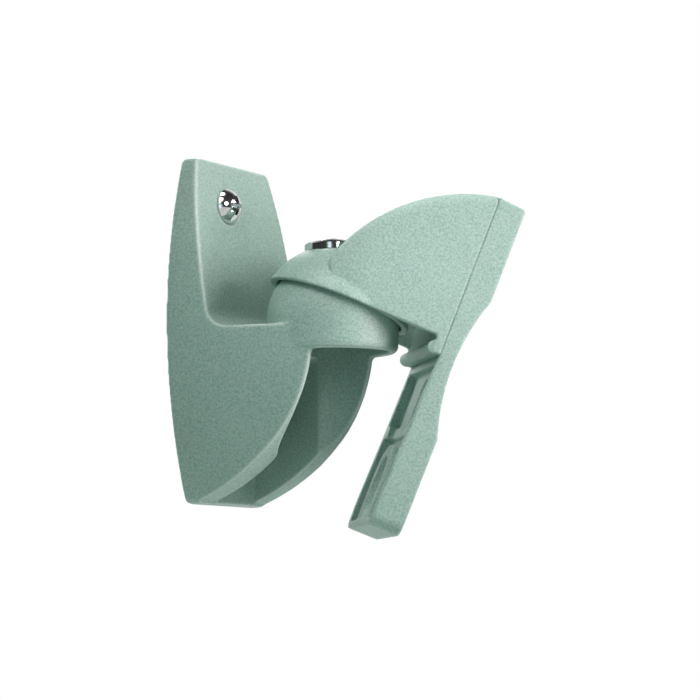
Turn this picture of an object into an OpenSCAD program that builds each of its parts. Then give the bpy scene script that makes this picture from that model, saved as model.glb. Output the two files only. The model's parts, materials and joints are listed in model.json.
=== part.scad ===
// Wall bracket for a small loudspeaker, with a clamped ball joint that swivels and tilts.
// Frame: millimetres, +Z up. The wall is the plane y = 0 and the bracket stands out
// towards -Y. The origin is the centre of the wall face, midway between the two wall screws.
// The arm is drawn in the pose in which it is used: swivelled by arm_swivel towards +X and
// tipped down by arm_tilt. Parts of the arm are drawn in the arm's own frame, with the ball's
// centre as origin, +X along the arm, Y across it and +Z up from it.

/* [Wall bracket] */
// Height of the lower end of the wall plate below the origin
plate_low = 58; // [56:0.5:60]
// Height of the upper end of the wall plate above the origin
plate_top = 58; // [56:0.5:60]
// Half width of the bracket at the wall, where it is widest
wall_half_w = 31.6; // [31:0.1:33]
// Half width that the sides would have at the front of the cheeks
front_half_w = 19.8; // [19.4:0.1:21]
// Depth at which front_half_w is taken
front_depth = 52; // [50:1:54]
// Radius of the barrel-shaped sides at the wall
barrel_r = 170; // [150:5:200]
// Radius of the barrel-shaped sides at the front
barrel_front_r = 320; // [280:10:400]
// Thickness of the wall plate at its top
plate_top_t = 5.7; // [5:0.1:6.5]
// Thickness of the wall plate where the fillet above the ledge starts
plate_ledge_t = 13.9; // [13:0.1:15]
// Fillet between the wall plate and the ledge
ledge_fillet = 7; // [5:0.5:9]
// Thickness of the wall plate at the end of the driver's channel
plate_low_t = 5.5; // [5:0.1:7]
// Distance of the channel's wall towards -X from the middle
driver_left = 9.5; // [9:0.1:11]
// Distance of the channel's wall towards +X from the middle
driver_right = 12.6; // [12.6:0.1:14]
// Thickness of the sides around the cells in the wall face
side_t = 3.4; // [3:0.1:4]

/* [Ball] */
// Distance of the ball's centre from the wall
ball_reach = 45.5; // [45:0.1:47]
// Height of the ball's centre above the origin
ball_z = 2; // [1:0.1:3]
// Radius of the ball
ball_r = 22; // [21.8:0.05:22.1]
// Depth of the skirt below the ball's centre
skirt_h = 10.8; // [10:0.1:12]
// Wall thickness of the hollow ball
ball_wall = 3.6; // [3:0.1:4]

/* [Arm] */
// Swivel of the arm from straight out, towards +X
arm_swivel = 42; // [30:1:50]
// Downward tilt of the arm
arm_tilt = 21.7; // [15:0.1:24]
// Outer radius of the cap that sits on the ball
cap_r = 25.05; // [24.9:0.05:25.2]
// Height of the cap's rim above the ball's centre
rim_h = 5.3; // [5:0.1:6]
// Half width of the arm
arm_half_w = 23.4; // [23:0.1:24]
// Wall thickness of the arm
arm_wall = 3; // [2.5:0.1:3.2]
// Distance from the ball's centre to the joint between arm and speaker plate
joint_x = 33.7; // [33:0.1:34.5]
// Radius of the arm's curved back
crest_r = 59.2; // [58:0.1:60]
// Distance of the centre of the curved back along the arm
crest_x = 45.5; // [45:0.1:46]
// Depth of the centre of the curved back below the ball's centre
crest_drop = 1.8; // [1:0.1:3]
// Radius of the arm's nose
nose_r = 5.8; // [5:0.1:6]

/* [Speaker plate] */
// Distance from the ball's centre to the speaker
face_x = 43.3; // [43:0.1:44]
// Distance from the ball's centre to the back of the plate's rim at its lower end
rim_x = 32.3; // [32:0.1:33]
// Upper end of the plate above the ball's centre
speaker_top = 55; // [54:0.5:56]
// Lower end of the plate below the ball's centre
speaker_low = 60; // [59:0.5:61]
// Half width of the plate at its lower end
low_half_w = 20.1; // [19.5:0.1:21]
// Depth of the waist between the two contact pads
waist_d = 4.2; // [3.5:0.1:4.6]
// Radius of the waist
waist_r = 71.7; // [65:0.1:80]
// Half width of the two screw slots
slot_half_w = 2.8; // [2.5:0.1:3]

/* [Fasteners] */
// Sideways distance of the upper wall screw from the middle, the lower one lies opposite
wall_screw_x = 6.5; // [5:0.1:8]
// Height of the upper wall screw above the origin, the lower one lies opposite
wall_screw_z = 43; // [42:0.1:45]
// Radius of the wall screws' necks, inside the bracket
wall_neck_r = 2.5; // [2.4:0.05:2.6]
// Radius of the wall screws where they enter the wall
wall_screw_r = 2.3; // [2:0.1:2.3]
// Length of screw that stands out behind the wall face
wall_screw_out = 9; // [6:0.5:9]
// Radius of the clamp bolt
bolt_r = 3; // [2.9:0.05:3]

/* [Hidden] */
$fn = 96;
cut = 60;               // overshoot of cutting shapes
sage = "#9fbcaf";
chrome = "#d8dcdc";
zinc = "#b9bdba";
nylon = "#e4e2d8";
dark_rubber = "#2c3231";

// wall bracket
barrel_z = 3;           // height of the widest point
corner_r = 3;           // rounded corners of the wall plate
front_top = [49.2, -8.8];   // where the cheeks' front edge starts, as depth and height
cheek_r1 = 50;          // upper part of the cheeks' front edge
cheek_r2 = 80;          // lower part of the cheeks' front edge
cheek_a0 = -6.7;
cheek_a1 = -44.5;
cheek_a2 = -69.7;
cheek_c1 = front_top - cheek_r1 * [cos(cheek_a0), sin(cheek_a0)];
cheek_c2 = cheek_c1 + (cheek_r1 - cheek_r2) * [cos(cheek_a1), sin(cheek_a1)];
skirt_low_r = ball_r - 0.4;
rim_round = 1.2;        // broken edge at the foot of the skirt
seat_r = ball_r - 0.8;  // the ball is set back above seat_z to hold the friction cup
seat_z = 15.4;
boss_r = 8.2;           // boss that holds the clamp nut
boss_z = 8.6;
cell_w = 9.5;           // shallow cells in the wall face, in two rows of four
cell_h = 11.5;
cell_depth = 4;
cell_rib = 2;
cell_z = 7;
side_cell_w = 11.5;     // deeper cells beside the driver's channel, in rows from the bottom up
side_cell_h = 9.4;
side_cell_depth = 14;
side_cell_z = -50.5;

// screws in the wall
screw_head_r = 6;
screw_head_h = 4.8;
screw_head_rim = 1;
spot_depth = 7.4;       // depth of the upper screw's seat
spot_r = 6.6;
screw_gap = 0.3;
screw_tip = 3;
cross_w = 1.3;
cross_l = 6.6;
cross_d = 2.8;

// clamp
nut_af = 10;
nut_t = 5;
nut_top = 14;
thread_gap = 0.05;
bolt_low = 6.5;
saddle_r = 9.3;
saddle_top = 26.1;
saddle_in_r = cap_r + 0.2;
tongue_w = 7.6;
tongue_r = 4.4;
tongue_in_r = 23;
bolt_head_r = 5.3;
bolt_head_h = 2.3;
socket_af = 4;
socket_d = 1.6;
cup_out_r = 22.35;
cup_in_r = seat_r + 0.05;

// arm
cap_in_r = 22.6;
crest = [crest_x, -crest_drop];
crest_round = 3;        // rounded edges of the curved back
nose_a = 161;           // the nose touches the curved back here
nose = crest + (crest_r - nose_r - 0.02) * [cos(nose_a), sin(nose_a)];
nose_tip = crest + crest_r * [cos(nose_a), sin(nose_a)];
nose_back = -9.2;
flare_x = 3;            // where the sides start to draw in towards the nose
flare_r = 30;
hood_x = 8;             // the back is open for the key from here to the nose
end_wall_t = 3;
lip_r = 2.3;
lip = [31.2, 1.3];
slot_w = 8.2;
slot_x = [-15.4, 5];
plate_screw_y = 13;
plate_screw_z = [31, 47];
boss_l = 3;

// speaker plate
rim_t = 3;
rim_mid = [33.1, -27];  // the back of the rim draws in towards its lower end
rim_low_z = -50;
front_round = 4;
floor_x = 36.5;
step_z = -0.5;          // the joint with the arm ends here
channel_low = 57.3;
channel_top = 3.5;
channel_round = 1.5;
slots = [[-21.5, -8.5], [-51, -40.5]];
slot_boss_r = 10;       // boss around the lower slot, with a recess for the screw's head
slot_boss_x = 32.9;
slot_recess_r = 5.5;
slot_recess_x = 38.5;
cross_rib_z = [-27, -22.7];
cross_rib_half_w = 16.5;
cross_rib_x = 35.6;
cross_rib_round = 4;
pad_t = 1.5;
pad_set = 1.2;          // depth of the pads' pockets
pad_half_w = 18;
upper_pad_z = [26.5, 52];
lower_pad_z = [-53.5, -29.5];
plate_screw_r = 1.95;
plate_head_r = 3.5;
plate_head_h = 2.2;
plate_head_x = 38.6;
plate_screw_end = 28.6;

function arc_pts(c, r, a0, a1, n) = [for (i = [0:n]) c + r * [cos(a0 + (a1 - a0) * i / n),
                                                              sin(a0 + (a1 - a0) * i / n)]];

// Everything that belongs to the ball's centre
module at_ball() { translate([0, -ball_reach, ball_z]) children(); }

// The arm's own frame
module arm_frame() { at_ball() rotate([0, 0, arm_swivel - 90]) rotate([0, arm_tilt, 0]) children(); }

// Swivels with the arm but doesn't tilt
module swivel_frame() { at_ball() rotate([0, 0, arm_swivel - 90]) children(); }

// A flat outline of x and z, drawn out from the wall
module from_wall(y0, y1) { translate([0, -y0, 0]) rotate([90, 0, 0]) linear_extrude(y1 - y0) children(); }

// Profile of depth and height, drawn across the bracket
module across(half) {
    rotate([90, 0, -90]) linear_extrude(2 * half, center = true) children();
}

// Profile in the arm's frame, drawn across the arm
module across_arm(half) { rotate([90, 0, 0]) linear_extrude(2 * half, center = true) children(); }

// Barrel-shaped outline of the wall plate
module barrel(half, r, round_r) {
    offset(r = round_r, $fn = 32) offset(delta = -round_r) intersection() {
        translate([-half, -plate_low]) square([2 * half, plate_low + plate_top]);
        translate([r - half, barrel_z]) circle(r, $fn = 240);
        translate([half - r, barrel_z]) circle(r, $fn = 240);
    }
}

// Converging body between two barrel outlines, inset by t
module envelope(t) {
    hull() {
        from_wall(-0.01, 0) barrel(wall_half_w - t, barrel_r, corner_r);
        from_wall(front_depth, front_depth + 0.01) barrel(front_half_w - t, barrel_front_r, corner_r);
    }
}

// Side view of the wall bracket, depth and height
module bracket_side() {
    polygon(concat(
        [[-1, plate_top + 1], [plate_top_t - 0.16, plate_top + 1]],
        arc_pts([plate_ledge_t + ledge_fillet, ledge_fillet], ledge_fillet, 188, 270, 12),
        [[front_top[0] - 3.4, 0]],
        arc_pts(cheek_c1, cheek_r1, cheek_a0, cheek_a1, 16),
        arc_pts(cheek_c2, cheek_r2, cheek_a1 - 1, cheek_a2, 12),
        [[plate_low_t, -plate_low - 1], [-1, -plate_low - 1]]));
}

module ball() {
    difference() {
        union() {
            intersection() {
                sphere(ball_r, $fn = 128);
                cylinder(h = ball_r, r = ball_r + 1);
            }
            translate([0, 0, -skirt_h + rim_round])
                cylinder(h = skirt_h - rim_round, r1 = skirt_low_r, r2 = ball_r, $fn = 128);
            translate([0, 0, -skirt_h])
                cylinder(h = rim_round, r1 = skirt_low_r - rim_round, r2 = skirt_low_r, $fn = 128);
        }
        difference() {
            translate([0, 0, seat_z]) cylinder(h = cut, r = ball_r + 1);
            sphere(seat_r, $fn = 128);
        }
    }
}

// The ball is cored out from below, between the cheeks
module ball_hollow() {
    inner_r = ball_r - ball_wall;
    difference() {
        union() {
            intersection() {
                sphere(inner_r, $fn = 96);
                translate([0, 0, -1]) cylinder(h = ball_r, r = ball_r);
            }
            translate([0, 0, -2 * cut]) cylinder(h = 2 * cut, r = inner_r, $fn = 96);
        }
        translate([0, 0, boss_z]) cylinder(h = ball_r, r = boss_r);
    }
}

// Straight way in for the lower screw and its driver, below the ball's skirt
module driver_channel() {
    top_z = ball_z - skirt_h;
    translate([-driver_left, -ball_reach, top_z - 2 * cut])
        cube([driver_left + driver_right, ball_reach - plate_low_t, 2 * cut]);
}

module wall_screw_hole(x, z) {
    translate([x, 1, z]) rotate([90, 0, 0]) cylinder(h = 15, r = wall_neck_r + screw_gap, $fn = 48);
}

// Cells that lighten the wall face, above and beside the driver's channel
module back_cells() {
    for (column = [-2:1], row = [0, 1]) {
        x = column * (cell_w + cell_rib) + cell_rib / 2;
        translate([x, -cell_depth, cell_z + row * (cell_h + cell_rib)])
            cube([cell_w, cell_depth + 1, cell_h]);
    }
    intersection() {
        envelope(side_t);
        for (x = [-driver_left - side_t - side_cell_w, driver_right + side_t], row = [0:3])
            translate([x, -side_cell_depth, side_cell_z + row * (side_cell_h + cell_rib)])
                cube([side_cell_w, side_cell_depth + 1, side_cell_h]);
    }
}

module wall_bracket() {
    color(sage) difference() {
        union() {
            intersection() {
                envelope(0);
                across(cut) bracket_side();
            }
            at_ball() ball();
        }
        driver_channel();
        at_ball() ball_hollow();
        at_ball() translate([0, 0, boss_z - 1])
            cylinder(h = nut_top - boss_z + 1.1, r = (nut_af + 0.3) / sqrt(3), $fn = 6);
        at_ball() cylinder(h = cut, r = bolt_r + screw_gap, $fn = 48);
        wall_screw_hole(-wall_screw_x, wall_screw_z);
        wall_screw_hole(wall_screw_x, -wall_screw_z);
        translate([-wall_screw_x, -spot_depth, wall_screw_z]) rotate([90, 0, 0])
            cylinder(h = cut, r = spot_r, $fn = 64);
        back_cells();
    }
}

// Cross-head screw with its head's base seat in front of the wall
module wall_screw(x, z, seat) {
    dome_h = screw_head_h - screw_head_rim;
    dome_r = (screw_head_r * screw_head_r + dome_h * dome_h) / (2 * dome_h);
    color(chrome) translate([x, -seat, z]) rotate([90, 0, 0]) difference() {
        union() {
            cylinder(h = screw_head_rim, r = screw_head_r, $fn = 64);
            translate([0, 0, screw_head_rim]) intersection() {
                translate([0, 0, dome_h - dome_r]) sphere(dome_r, $fn = 64);
                cylinder(h = screw_head_h, r = screw_head_r, $fn = 64);
            }
            translate([0, 0, -seat]) cylinder(h = seat, r = wall_neck_r, $fn = 48);
            translate([0, 0, screw_tip - seat - wall_screw_out])
                cylinder(h = wall_screw_out - screw_tip, r = wall_screw_r, $fn = 48);
            translate([0, 0, -seat - wall_screw_out])
                cylinder(h = screw_tip, r1 = 0.3, r2 = wall_screw_r, $fn = 48);
        }
        for (turn = [0, 90]) rotate([0, 0, turn])
            translate([-cross_l / 2, -cross_w / 2, screw_head_h - cross_d])
                cube([cross_l, cross_w, cross_d + 1]);
    }
}

module wall_screw_upper() { wall_screw(-wall_screw_x, wall_screw_z, spot_depth); }

module wall_screw_lower() { wall_screw(wall_screw_x, -wall_screw_z, plate_low_t); }

// Nylon lining between the ball and the cap
module friction_cup() {
    color(nylon) at_ball() difference() {
        intersection() {
            sphere(cup_out_r, $fn = 128);
            translate([0, 0, seat_z + 0.1]) cylinder(h = cut, r = ball_r);
        }
        sphere(cup_in_r, $fn = 128);
        cylinder(h = cut, r = bolt_r + 1, $fn = 48);
    }
}

module clamp_nut() {
    color(zinc) at_ball() translate([0, 0, nut_top - nut_t]) difference() {
        cylinder(h = nut_t, r = nut_af / sqrt(3), $fn = 6);
        translate([0, 0, -1]) cylinder(h = nut_t + 2, r = bolt_r + thread_gap, $fn = 48);
    }
}

module clamp_bolt() {
    dome_r = (bolt_head_r * bolt_head_r + bolt_head_h * bolt_head_h) / (2 * bolt_head_h);
    color(chrome) at_ball() difference() {
        union() {
            translate([0, 0, bolt_low]) cylinder(h = saddle_top - bolt_low + 0.5, r = bolt_r, $fn = 48);
            translate([0, 0, saddle_top + 0.02]) intersection() {
                translate([0, 0, bolt_head_h - dome_r]) sphere(dome_r, $fn = 64);
                cylinder(h = bolt_head_h, r = bolt_head_r, $fn = 64);
            }
        }
        translate([0, 0, saddle_top + bolt_head_h - socket_d])
            cylinder(h = socket_d + 1, r = socket_af / sqrt(3), $fn = 6);
    }
}

// Dished washer with a tongue that keeps it in line with the arm's slot
module saddle_washer() {
    color(chrome) swivel_frame() difference() {
        union() {
            difference() {
                union() {
                    translate([0, 0, 20]) cylinder(h = saddle_top - 20.6, r = saddle_r, $fn = 96);
                    translate([0, 0, saddle_top - 0.6])
                        cylinder(h = 0.6, r1 = saddle_r, r2 = saddle_r - 0.6, $fn = 96);
                }
                sphere(saddle_in_r, $fn = 128);
            }
            difference() {
                intersection() {
                    cylinder(h = 25.5, r = tongue_r, $fn = 48);
                    translate([-tongue_r, -tongue_w / 2, 0]) cube([2 * tongue_r, tongue_w, 25.5]);
                }
                sphere(tongue_in_r, $fn = 128);
            }
        }
        cylinder(h = cut, r = bolt_r + 0.2, $fn = 48);
    }
}

// Side view of the arm without the cap, open towards the curved back
module arm_side() {
    translate([nose[0], rim_h]) square([joint_x - nose[0], cut]);
    translate([nose_back, rim_h]) square([-nose_back, nose[1] - rim_h]);
    translate(nose) circle(nose_r, $fn = 64);
    polygon([nose_tip, nose, [nose[0], cut], [nose_tip[0], cut]]);
}

// Drum with rounded edges that shapes the arm's curved back
module crest_drum() {
    corner = [crest_r - crest_round, arm_half_w - crest_round];
    translate([crest[0], 0, crest[1]]) rotate([90, 0, 0]) rotate_extrude($fn = 180)
        polygon(concat([[0, -arm_half_w]],
                       arc_pts([corner[0], -corner[1]], crest_round, -90, 0, 4),
                       arc_pts(corner, crest_round, 0, 90, 4),
                       [[0, arm_half_w]]));
}

// Plan view of the arm, inset by t
module arm_plan(t) {
    for (side = [-1, 1]) scale([1, side]) intersection() {
        translate([-12, -1]) square([12 + joint_x, arm_half_w - t + 1]);
        union() {
            translate([flare_x, -1]) square([cut, cut]);
            translate([flare_x, arm_half_w - flare_r]) circle(flare_r - t, $fn = 128);
        }
    }
}

// Room inside the arm, open below, and open above between the nose and the hood
module arm_room() {
    intersection() {
        translate([0, 0, -1]) linear_extrude(cut + 20) union() {
            arm_plan(arm_wall);
            translate([-30, -arm_half_w + 8]) square([24, 2 * arm_half_w - 16]);
        }
        union() {
            across_arm(cut) intersection() {
                translate(crest) circle(crest_r - arm_wall, $fn = 240);
                translate([-30, -1]) square([30 + joint_x - end_wall_t, 80]);
            }
            translate([-30, -cut, -1]) cube([30 + hood_x, 2 * cut, cut + 20]);
        }
    }
}

module arm_shell() {
    color(sage) arm_frame() difference() {
        union() {
            difference() {
                intersection() {
                    across_arm(cut) arm_side();
                    linear_extrude(cut + 20) arm_plan(0);
                    crest_drum();
                }
                arm_room();
            }
            intersection() {
                sphere(cap_r, $fn = 160);
                translate([0, 0, rim_h]) cylinder(h = cut, r = cap_r + 1);
            }
            translate([joint_x - end_wall_t, -arm_half_w, step_z])
                cube([end_wall_t, 2 * arm_half_w, rim_h - step_z + 1]);
            translate([lip[0], 0, lip[1]]) rotate([90, 0, 0])
                cylinder(h = 2 * (arm_half_w - 0.6), r = lip_r, center = true, $fn = 48);
            for (y = [-plate_screw_y, plate_screw_y], z = plate_screw_z)
                translate([joint_x - end_wall_t - boss_l, y, z]) rotate([0, 90, 0])
                    cylinder(h = boss_l + 1, r = 4.5, $fn = 48);
        }
        sphere(cap_in_r, $fn = 160);
        translate([joint_x, -cut, -cut]) cube([cut, 2 * cut, 2 * cut]);
        translate([slot_x[0] + slot_w / 2, -slot_w / 2, 10])
            cube([slot_x[1] - slot_x[0] - slot_w, slot_w, 16]);
        for (x = [slot_x[0] + slot_w / 2, slot_x[1] - slot_w / 2])
            translate([x, 0, 10]) cylinder(h = 16, r = slot_w / 2, $fn = 48);
        for (y = [-plate_screw_y, plate_screw_y], z = plate_screw_z)
            translate([joint_x + 1, y, z]) rotate([0, -90, 0])
                cylinder(h = joint_x + 1.4 - plate_screw_end, r = plate_screw_r + thread_gap, $fn = 48);
    }
}

// Side view of the speaker plate
module plate_side() {
    difference() {
        polygon([[joint_x, speaker_top + 0.7], [face_x, speaker_top], [face_x, -speaker_low],
                 [rim_x, -speaker_low], [rim_x, rim_low_z], rim_mid, [joint_x, step_z]]);
        translate([face_x - waist_d + waist_r, -2]) circle(waist_r, $fn = 240);
    }
}

// Front view of the speaker plate, inset by t, with its lower end and the corners there
module plate_front(t, low, round_r) {
    wide = arm_half_w - t;
    taper = (arm_half_w - low_half_w) / (speaker_low + rim_h);
    narrow = low_half_w + taper * (speaker_low - low + round_r) - t;
    polygon([[-wide, cut], [wide, cut], [wide, rim_h], [narrow, round_r - low],
             [-narrow, round_r - low], [-wide, rim_h]]);
    translate([round_r - narrow, -low]) square([2 * (narrow - round_r), round_r + 1]);
    for (side = [-1, 1]) translate([side * (narrow - round_r), round_r - low]) circle(round_r, $fn = 48);
}

// Outline of y and z in the arm's frame, drawn along the arm
module along_arm(x0, x1) {
    translate([x0, 0, 0]) rotate([90, 0, 90]) linear_extrude(x1 - x0) children();
}

module slot_outline(z, half) {
    translate([-half, z[0]]) square([2 * half, z[1] - z[0]]);
    for (end = z) translate([0, end]) circle(half, $fn = 48);
}

// U-shaped rib across the plate's hollow back
module cross_rib() {
    inner = cross_rib_half_w - cross_rib_round;
    translate([0, 0, cross_rib_z[0]]) linear_extrude(cross_rib_z[1] - cross_rib_z[0]) difference() {
        translate([rim_mid[0] + 0.2, 1 - low_half_w])
            square([floor_x + 0.3 - rim_mid[0], 2 * low_half_w - 2]);
        translate([0, -inner]) square([cross_rib_x, 2 * inner]);
        translate([0, -cross_rib_half_w]) square([cross_rib_x - cross_rib_round, 2 * cross_rib_half_w]);
        for (side = [-1, 1]) translate([cross_rib_x - cross_rib_round, side * inner])
            circle(cross_rib_round, $fn = 48);
    }
}

module speaker_plate() {
    color(sage) arm_frame() difference() {
        union() {
            difference() {
                intersection() {
                    across_arm(cut) plate_side();
                    along_arm(0, cut) plate_front(0, speaker_low, front_round);
                }
                along_arm(0, floor_x) intersection() {
                    plate_front(rim_t, channel_low, channel_round);
                    translate([-cut, -cut]) square([2 * cut, cut - channel_top]);
                }
            }
            along_arm(slot_boss_x, floor_x + 0.5) {
                translate([0, slots[1][1]]) circle(slot_boss_r, $fn = 96);
                translate([-slot_boss_r, -channel_low - 0.5])
                    square([2 * slot_boss_r, channel_low + 0.5 + slots[1][1]]);
            }
            cross_rib();
        }
        along_arm(0, slot_recess_x) slot_outline(slots[1], slot_recess_r);
        for (z = slots) along_arm(0, cut) slot_outline(z, slot_half_w);
        for (z = [upper_pad_z, lower_pad_z]) along_arm(face_x - pad_set, cut)
            translate([-pad_half_w, z[0]]) square([2 * pad_half_w, z[1] - z[0]]);
        for (y = [-plate_screw_y, plate_screw_y], z = plate_screw_z) {
            translate([0, y, z]) rotate([0, 90, 0]) cylinder(h = cut, r = plate_screw_r + 0.2, $fn = 48);
            translate([plate_head_x, y, z]) rotate([0, 90, 0])
                cylinder(h = cut, r = plate_head_r + 0.3, $fn = 48);
        }
    }
}

// One of the screws that hold the plate on the arm, put in from the speaker's side
module plate_screw(y, z) {
    color(zinc) arm_frame() translate([plate_head_x, y, z]) rotate([0, 90, 0]) difference() {
        union() {
            cylinder(h = plate_head_h, r = plate_head_r, $fn = 48);
            translate([0, 0, plate_screw_end - plate_head_x])
                cylinder(h = plate_head_x - plate_screw_end, r = plate_screw_r, $fn = 48);
        }
        for (turn = [0, 90]) rotate([0, 0, turn]) translate([-2, -0.45, 0.9]) cube([4, 0.9, 3]);
    }
}

module plate_screw_upper_left() { plate_screw(-plate_screw_y, plate_screw_z[1]); }

module plate_screw_upper_right() { plate_screw(plate_screw_y, plate_screw_z[1]); }

module plate_screw_lower_left() { plate_screw(-plate_screw_y, plate_screw_z[0]); }

module plate_screw_lower_right() { plate_screw(plate_screw_y, plate_screw_z[0]); }

// Rubber pad let into the plate's face, open where the lower slot is
module pad(z) {
    x0 = face_x - pad_set;
    color(dark_rubber) arm_frame() along_arm(x0, x0 + pad_t) difference() {
        translate([-pad_half_w + 0.2, z[0] + 0.2])
            square([2 * pad_half_w - 0.4, z[1] - z[0] - 0.4]);
        slot_outline(slots[1], slot_half_w + 0.5);
    }
}

module upper_pad() { pad(upper_pad_z); }

module lower_pad() { pad(lower_pad_z); }

wall_bracket();
wall_screw_upper();
wall_screw_lower();
friction_cup();
clamp_nut();
clamp_bolt();
saddle_washer();
arm_shell();
speaker_plate();
plate_screw_upper_left();
plate_screw_upper_right();
plate_screw_lower_left();
plate_screw_lower_right();
upper_pad();
lower_pad();
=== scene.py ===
"""Wall bracket for a small loudspeaker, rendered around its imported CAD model."""

import json
import math

import bpy
import numpy as np
from mathutils import Matrix, Vector


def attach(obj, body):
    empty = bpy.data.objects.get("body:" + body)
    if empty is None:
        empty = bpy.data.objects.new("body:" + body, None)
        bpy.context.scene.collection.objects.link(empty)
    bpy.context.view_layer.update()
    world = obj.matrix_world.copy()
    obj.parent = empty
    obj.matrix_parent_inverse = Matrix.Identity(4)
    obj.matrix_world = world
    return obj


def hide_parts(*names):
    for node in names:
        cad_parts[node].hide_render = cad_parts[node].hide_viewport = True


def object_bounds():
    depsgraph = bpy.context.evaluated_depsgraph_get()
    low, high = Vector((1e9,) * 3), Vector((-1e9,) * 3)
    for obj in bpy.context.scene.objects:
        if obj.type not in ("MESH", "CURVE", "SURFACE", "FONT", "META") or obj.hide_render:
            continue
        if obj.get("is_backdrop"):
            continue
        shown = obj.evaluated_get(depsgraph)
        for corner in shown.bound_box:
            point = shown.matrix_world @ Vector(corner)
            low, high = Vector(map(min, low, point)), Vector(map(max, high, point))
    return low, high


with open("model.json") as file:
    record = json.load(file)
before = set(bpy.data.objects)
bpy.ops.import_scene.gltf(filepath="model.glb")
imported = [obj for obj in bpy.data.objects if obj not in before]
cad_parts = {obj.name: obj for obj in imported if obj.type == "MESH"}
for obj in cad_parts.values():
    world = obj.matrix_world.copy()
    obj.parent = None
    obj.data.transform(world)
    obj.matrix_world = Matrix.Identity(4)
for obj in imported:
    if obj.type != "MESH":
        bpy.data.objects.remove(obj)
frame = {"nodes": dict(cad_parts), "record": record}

CAD_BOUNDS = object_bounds()
RECORD = frame["record"]
JOINTS = {j["name"]: j for j in RECORD["behaviour"]["joints"]}
MM = 0.001


def plain(value):
    """Nested tuples and vectors as plain lists of numbers."""
    if hasattr(value, "__len__"):
        return [plain(v) for v in value]
    return float(value)


def link(obj):
    bpy.context.scene.collection.objects.link(obj)
    return obj


def feed(tree, socket, value):
    """Drives a node's socket with another socket, a colour or a number."""
    if isinstance(value, bpy.types.NodeSocket):
        tree.links.new(value, socket)
    elif socket.type == "RGBA":
        socket.default_value = (*value, 1.0)
    else:
        socket.default_value = value


# camera ---------------------------------------------------------------------

CAMERA_PLACE = (-0.77089, -0.52079, -0.09957)
CAMERA_HEADING, CAMERA_PITCH, CAMERA_ROLL = 58.7, 5.806, -0.277     # degrees
LENS, SENSOR = 141.3, 36.0


def make_camera():
    data = bpy.data.cameras.new("camera")
    data.sensor_width = SENSOR
    data.lens = LENS
    data.clip_start = 0.01
    data.clip_end = 100.0
    camera = link(bpy.data.objects.new("camera", data))
    heading, pitch, roll = (math.radians(a) for a in (CAMERA_HEADING, CAMERA_PITCH, CAMERA_ROLL))
    forward = Vector((math.sin(heading) * math.cos(pitch),
                      math.cos(heading) * math.cos(pitch), math.sin(pitch)))
    side = forward.cross(Vector((0, 0, 1))).normalized()
    up = side.cross(forward)
    right = side * math.cos(roll) + up * math.sin(roll)
    up = up * math.cos(roll) - side * math.sin(roll)
    place = Matrix((right, up, -forward)).transposed().to_4x4()
    place.translation = Vector(CAMERA_PLACE)
    camera.matrix_world = place
    bpy.context.scene.camera = camera


make_camera()


# the arm's own frame --------------------------------------------------------

BALL = Vector(JOINTS["tilt"]["pos_m"])
ACROSS = Vector(JOINTS["tilt"]["axis"])
ALONG = Vector(next(m for m in RECORD["mounts"] if m["name"] == "speaker_face")["axis"])
RISE = ALONG.cross(ACROSS)


def arm_coords(point):
    """A point as millimetres along the arm and up from the ball's centre."""
    away = (Vector(point) - BALL) / MM
    return away.dot(ALONG), away.dot(RISE)


# castings with rounded edges ------------------------------------------------

CASTINGS = ("wall_bracket", "arm_shell", "speaker_plate")
MAX_FACES = 190000          # triangles in a casting
SEAM = 33.7                 # along the arm to the joint between arm and plate
SEAM_REACH = 0.9            # the joint's tighter edges lie this close to it
SEAM_LOW = -0.5             # the joint ends here
BALL_REACH = 22.6           # the ball, out from its axis
BALL_LOW = -9.4             # the ball's skirt ends below this


def apply_modifiers(obj):
    name = obj.data.name
    bpy.context.view_layer.update()
    graph = bpy.context.evaluated_depsgraph_get()
    mesh = bpy.data.meshes.new_from_object(obj.evaluated_get(graph))
    mesh.name = name
    obj.modifiers.clear()
    obj.data = mesh


def positions(mesh):
    flat = np.empty(3 * len(mesh.vertices))
    mesh.vertices.foreach_get("co", flat)
    return flat.reshape(-1, 3)


def seam_weight(point):
    """The castings keep tighter edges at the joint between the arm and the plate."""
    along, up = arm_coords(point)
    return 0.3 if abs(along - SEAM) < SEAM_REACH and up > SEAM_LOW else 1.0


def bracket_weight(point):
    """The cheeks and the plate are rounded more than the ball."""
    x, y, z = (v / MM for v in Vector(point) - BALL)
    near_ball = math.hypot(x, y) < BALL_REACH and z > BALL_LOW
    return 0.35 if near_ball else 1.0


def mark_edges(mesh, sharp):
    """Stores how far rounding has drawn each point inwards, which marks the outer edges for the
    painted edge highlight.
    """
    normals = np.array([v.normal for v in mesh.vertices])
    drawn_in = ((sharp - positions(mesh)) * normals).sum(axis=1) / MM
    mark = mesh.attributes.new("edge", "FLOAT", "POINT")
    mark.data.foreach_set("value", drawn_in.astype(np.float32))


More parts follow.
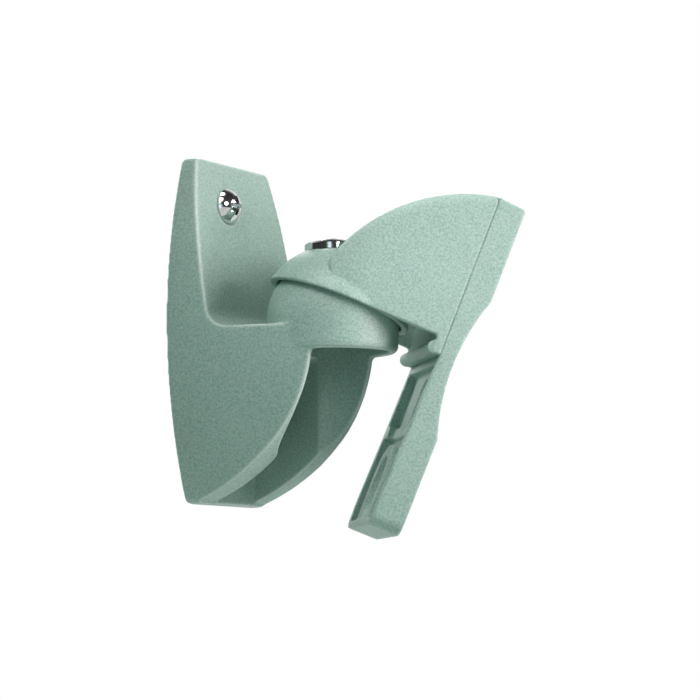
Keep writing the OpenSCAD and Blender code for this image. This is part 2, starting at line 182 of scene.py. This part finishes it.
def rounded_casting(node, body, voxel, passes, weight):
    """A copy of a cast CAD node with its edges rounded, as the sand or die leaves them."""
    source = frame["nodes"][node]
    piece = link(bpy.data.objects.new(node + "_casting", source.data.copy()))
    remesh = piece.modifiers.new("remesh", "REMESH")
    remesh.mode = "VOXEL"
    remesh.voxel_size = voxel * MM
    remesh.adaptivity = 0.0
    apply_modifiers(piece)
    group = piece.vertex_groups.new(name="round")
    shares = {}
    for v in piece.data.vertices:
        shares.setdefault(round(weight(v.co), 1), []).append(v.index)
    for share, indices in shares.items():
        group.add(indices, share, "REPLACE")
    smooth = piece.modifiers.new("round", "SMOOTH")
    smooth.factor = 0.5
    smooth.iterations = passes
    smooth.vertex_group = group.name
    sharp = positions(piece.data)
    apply_modifiers(piece)
    mark_edges(piece.data, sharp)
    count = 2 * len(piece.data.polygons)
    if count > MAX_FACES:
        thin = piece.modifiers.new("thin", "DECIMATE")
        thin.ratio = MAX_FACES / count
        apply_modifiers(piece)
    piece.vertex_groups.clear()
    piece.data.materials.clear()
    piece.data.shade_smooth()
    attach(piece, body)
    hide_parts(node)
    return piece


castings = [rounded_casting("wall_bracket", "root", 0.45, 34, bracket_weight),
            rounded_casting("arm_shell", "arm", 0.4, 8, seam_weight),
            rounded_casting("speaker_plate", "arm", 0.4, 10, seam_weight)]


# materials ------------------------------------------------------------------

MIX_A, MIX_B, MIX_RESULT = 6, 7, 2      # the colour sockets of a Mix node


class Finish:
    """A node material under construction."""

    def __init__(self, name, **shader):
        self.material = bpy.data.materials.new(name)
        self.material.use_nodes = True
        self.tree = self.material.node_tree
        self.shader = self.tree.nodes["Principled BSDF"]
        self.coords = self.tree.nodes.new("ShaderNodeTexCoord").outputs["Object"]
        for socket, value in shader.items():
            self.shader.inputs[socket.replace("_", " ")].default_value = value

    def node(self, kind, inputs=None, **settings):
        node = self.tree.nodes.new("ShaderNode" + kind)
        for key, value in settings.items():
            setattr(node, key, value)
        for key, value in (inputs or {}).items():
            feed(self.tree, node.inputs[key], value)
        return node

    def noise(self, scale, detail=3.0, roughness=0.55, stretch=None, distortion=0.0):
        coords = self.coords
        if stretch:
            coords = self.node("Mapping", {"Vector": coords, "Scale": stretch}).outputs["Vector"]
        noise = self.node("TexNoise", {"Vector": coords, "Scale": scale, "Detail": detail,
                                       "Roughness": roughness, "Distortion": distortion})
        return noise.outputs["Fac"]

    def mapped(self, value, low, high, to_low=0.0, to_high=1.0):
        return self.node("MapRange", {"Value": value, "From Min": low, "From Max": high,
                                      "To Min": to_low, "To Max": to_high}).outputs["Result"]

    def mixed(self, factor, first, second):
        mix = self.node("Mix", {"Factor": factor}, data_type="RGBA")
        feed(self.tree, mix.inputs[MIX_A], first)
        feed(self.tree, mix.inputs[MIX_B], second)
        return mix.outputs[MIX_RESULT]

    def bumped(self, height, strength, distance, after=None):
        inputs = {"Height": height, "Strength": strength, "Distance": distance}
        if after:
            inputs["Normal"] = after
        return self.node("Bump", inputs).outputs["Normal"]

    def drive(self, socket, value):
        self.tree.links.new(value, self.shader.inputs[socket])


def powder_coat():
    """Fine-textured sage powder coat on a casting, with a painted highlight that makes the rounded
    outer edges paler.
    """
    f = Finish("sage_powder_coat", Specular_IOR_Level=0.40)
    grain = f.noise(1500.0, 2.0, 0.5)
    peel = f.noise(520.0, 3.0, 0.55)
    cloud = f.noise(38.0, 4.0, 0.6)
    tone = f.mixed(f.mapped(cloud, 0.35, 0.65), (0.218, 0.375, 0.308), (0.242, 0.405, 0.334))
    tone = f.mixed(f.mapped(grain, 0.42, 0.66, 0.0, 0.50), tone, (0.37, 0.53, 0.46))
    tone = f.mixed(f.mapped(grain, 0.34, 0.48, 0.30, 0.0), tone, (0.13, 0.25, 0.20))
    tone = f.mixed(f.mapped(peel, 0.34, 0.50, 0.10, 0.0), tone, (0.14, 0.275, 0.22))
    edge = f.node("Attribute", attribute_name="edge").outputs["Fac"]
    # painted highlight: the rounded outer edges are mixed towards a pale colour that stands in for
    # light catching them
    tone = f.mixed(f.mapped(edge, 0.05, 0.50, 0.0, 0.80), tone, (0.56, 0.70, 0.635))
    f.drive("Base Color", tone)
    f.drive("Roughness", f.mapped(peel, 0.3, 0.7, 0.42, 0.60))
    coarse = f.bumped(peel, 0.30, 0.00022)
    f.drive("Normal", f.bumped(grain, 0.32, 0.00012, coarse))
    return f.material


def polished_chrome():
    """Bright chrome plating with hairline scratches and a slight haze."""
    f = Finish("polished_chrome", Metallic=1.0)
    haze = f.noise(260.0, 4.0, 0.6)
    hair = f.noise(900.0, 2.0, 0.5, stretch=(1.0, 1.0, 0.12))
    f.drive("Base Color", f.mixed(f.mapped(haze, 0.3, 0.7), (0.72, 0.77, 0.75), (0.84, 0.87, 0.86)))
    f.drive("Roughness", f.mapped(haze, 0.3, 0.7, 0.07, 0.16))
    f.drive("Normal", f.bumped(hair, 0.06, 0.00004))
    return f.material


def zinc_plate():
    """Satin zinc plating with a crystalline mottle."""
    f = Finish("satin_zinc", Metallic=1.0)
    mottle = f.noise(650.0, 4.0, 0.65, distortion=0.8)
    drawn = f.noise(1400.0, 2.0, 0.5, stretch=(1.0, 1.0, 0.1))
    tone = f.mixed(f.mapped(mottle, 0.3, 0.7), (0.50, 0.525, 0.515), (0.64, 0.655, 0.635))
    f.drive("Base Color", tone)
    f.drive("Roughness", f.mapped(mottle, 0.3, 0.7, 0.28, 0.42))
    f.drive("Normal", f.bumped(drawn, 0.12, 0.00005))
    return f.material


def moulded_nylon():
    """Natural nylon with faint flow marks."""
    f = Finish("natural_nylon", Specular_IOR_Level=0.5)
    flow = f.noise(90.0, 4.0, 0.55, stretch=(1.0, 1.0, 3.0), distortion=1.2)
    skin = f.noise(1100.0, 2.0, 0.5)
    f.drive("Base Color", f.mixed(f.mapped(flow, 0.3, 0.7), (0.74, 0.73, 0.67), (0.83, 0.82, 0.765)))
    f.drive("Roughness", f.mapped(flow, 0.3, 0.7, 0.38, 0.52))
    f.drive("Normal", f.bumped(skin, 0.10, 0.00005))
    return f.material


def moulded_rubber():
    """Dull black rubber with a fine moulded grain."""
    f = Finish("pad_rubber", Specular_IOR_Level=0.35)
    dust = f.noise(140.0, 4.0, 0.6)
    grain = f.noise(1800.0, 2.0, 0.5)
    tone = f.mixed(f.mapped(dust, 0.35, 0.7), (0.020, 0.023, 0.022), (0.045, 0.050, 0.048))
    f.drive("Base Color", tone)
    f.drive("Roughness", f.mapped(dust, 0.3, 0.7, 0.72, 0.86))
    f.drive("Normal", f.bumped(grain, 0.35, 0.0001))
    return f.material


finishes = {"casting": powder_coat(), "plated_steel": polished_chrome(), "zinc_steel": zinc_plate(),
            "nylon": moulded_nylon(), "pad_rubber": moulded_rubber()}

for piece in castings:
    piece.data.materials.append(finishes["casting"])

for part in RECORD["subparts"]:
    if part["node"] not in CASTINGS:
        for slot in frame["nodes"][part["node"]].material_slots:
            slot.material = finishes[part["material_slot"]]


# floor, world and lights ----------------------------------------------------

FLOOR_HALF, FLOOR_Z = 1.1, -0.16


def make_floor():
    mesh = bpy.data.meshes.new("floor")
    corners = [(-1, -1), (1, -1), (1, 1), (-1, 1)]
    mesh.from_pydata([(x * FLOOR_HALF, y * FLOOR_HALF, FLOOR_Z) for x, y in corners],
                     [], [(0, 1, 2, 3)])
    floor = link(bpy.data.objects.new("floor", mesh))
    f = Finish("pale_floor", Roughness=0.85)
    tone = f.mixed(f.mapped(f.noise(6.0), 0.3, 0.7), (0.76, 0.80, 0.785), (0.80, 0.84, 0.825))
    f.drive("Base Color", tone)
    # a faint glow to the eye only, so that the floor stays pale but lights nothing
    seen = f.node("LightPath").outputs["Is Camera Ray"]
    f.drive("Emission Strength", f.mapped(seen, 0.0, 1.0, 0.0, 0.62))
    f.shader.inputs["Emission Color"].default_value = (0.96, 1.0, 0.985, 1.0)
    mesh.materials.append(f.material)
    floor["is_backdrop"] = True


BEHIND = (0.82, 0.54, 0.2)      # towards the backdrop


def make_world():
    """White behind the object, a dim green fill, and a white backdrop in its reflections."""
    world = bpy.data.worlds.new("studio")
    bpy.context.scene.world = world
    world.use_nodes = True
    tree = world.node_tree
    ground = tree.nodes["Background"]
    path = tree.nodes.new("ShaderNodeLightPath")

    def shade(ray, first, second):
        mix = tree.nodes.new("ShaderNodeMix")
        mix.data_type = "RGBA"
        feed(tree, mix.inputs["Factor"], path.outputs[ray])
        feed(tree, mix.inputs[MIX_A], first)
        feed(tree, mix.inputs[MIX_B], second)
        return mix.outputs[MIX_RESULT]

    heading = tree.nodes.new("ShaderNodeTexCoord").outputs["Generated"]
    away = tree.nodes.new("ShaderNodeVectorMath")
    away.operation = "DOT_PRODUCT"
    feed(tree, away.inputs[0], heading)
    feed(tree, away.inputs[1], BEHIND)
    backdrop = tree.nodes.new("ShaderNodeMapRange")
    backdrop.interpolation_type = "SMOOTHSTEP"
    for socket, value in (("Value", away.outputs["Value"]), ("From Min", 0.35), ("From Max", 0.9),
                          ("To Min", 0.04), ("To Max", 0.95)):
        feed(tree, backdrop.inputs[socket], value)
    fill = shade("Is Glossy Ray", (0.008, 0.030, 0.030), backdrop.outputs["Result"])
    feed(tree, ground.inputs["Color"], shade("Is Camera Ray", fill, (1.0, 1.0, 1.0)))


ALL = (0.0, -0.05, 0.0)         # aims of the lights
ARM = (0.03, -0.085, 0.005)

# name, aim, heading from straight out and height in degrees, distance, size, spread, power, colour
LIGHTS = [
    ("front", ALL, 20, 20, 1.3, 0.5, 180, 15.0, (1.0, 0.84, 0.88)),
    ("wall_side", ALL, -75, 20, 1.3, 0.5, 180, 1.0, (0.60, 1.0, 0.78)),
    ("under_front", ALL, 0, -60, 1.3, 0.5, 180, 7.0, (1.0, 0.85, 0.87)),
    ("above_left", ALL, -90, 60, 1.3, 0.5, 180, 3.6, (1.0, 0.88, 0.92)),
    ("low_back_left", ALL, -110, -20, 1.3, 0.5, 180, 1.0, (0.60, 1.0, 0.75)),
    ("low_right", ALL, 80, -20, 1.3, 0.5, 180, 5.0, (0.60, 1.0, 0.85)),
    ("back", ALL, 172, 25, 1.3, 0.6, 180, 9.0, (1.0, 1.0, 1.0)),
    ("back_right", ALL, 125, 35, 1.3, 0.5, 180, 4.0, (1.0, 1.0, 1.0)),
    ("arm_front", ARM, 10, 0, 0.34, 0.14, 50, 0.085, (1.0, 0.75, 0.83)),
    ("arm_top_back", ARM, -100, 40, 0.34, 0.14, 50, 0.038, (1.0, 0.84, 0.88)),
    ("arm_top", ARM, -75, 40, 0.34, 0.14, 50, 0.027, (1.0, 0.77, 0.84)),
    ("arm_side", ARM, -75, 0, 0.34, 0.14, 50, 0.007, (0.773, 0.818, 1.0)),
    ("cap_top", ARM, -85, 74, 0.34, 0.12, 45, 0.034, (1.0, 0.90, 0.93)),
]


def make_light(name, aim, heading, height, distance, size, spread, power, colour, glint=False):
    """A round lamp aimed at the object; a glint shows in reflections only."""
    lamp = bpy.data.lights.new(name, "AREA")
    lamp.shape = "DISK"
    lamp.size = size
    lamp.spread = math.radians(spread)
    lamp.energy = power
    lamp.color = colour
    heading, height = math.radians(heading), math.radians(height)
    towards = Vector((math.sin(heading) * math.cos(height), -math.cos(heading) * math.cos(height),
                      math.sin(height)))
    light = link(bpy.data.objects.new(name, lamp))
    light.visible_camera = False
    light.visible_diffuse = not glint
    light.matrix_world = (Matrix.Translation(Vector(aim) + towards * distance)
                          @ towards.to_track_quat("Z", "Y").to_matrix().to_4x4())


make_floor()
make_world()
for light in LIGHTS:
    make_light(*light)
make_light("edge_glint", ALL, -31, 14, 1.3, 0.45, 180, 3.5, (0.9, 1.0, 0.96), glint=True)

scene = bpy.context.scene
scene.view_settings.view_transform = "Standard"
scene.view_settings.look = "None"

{"cad": plain(CAD_BOUNDS), "visual": plain(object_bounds())}
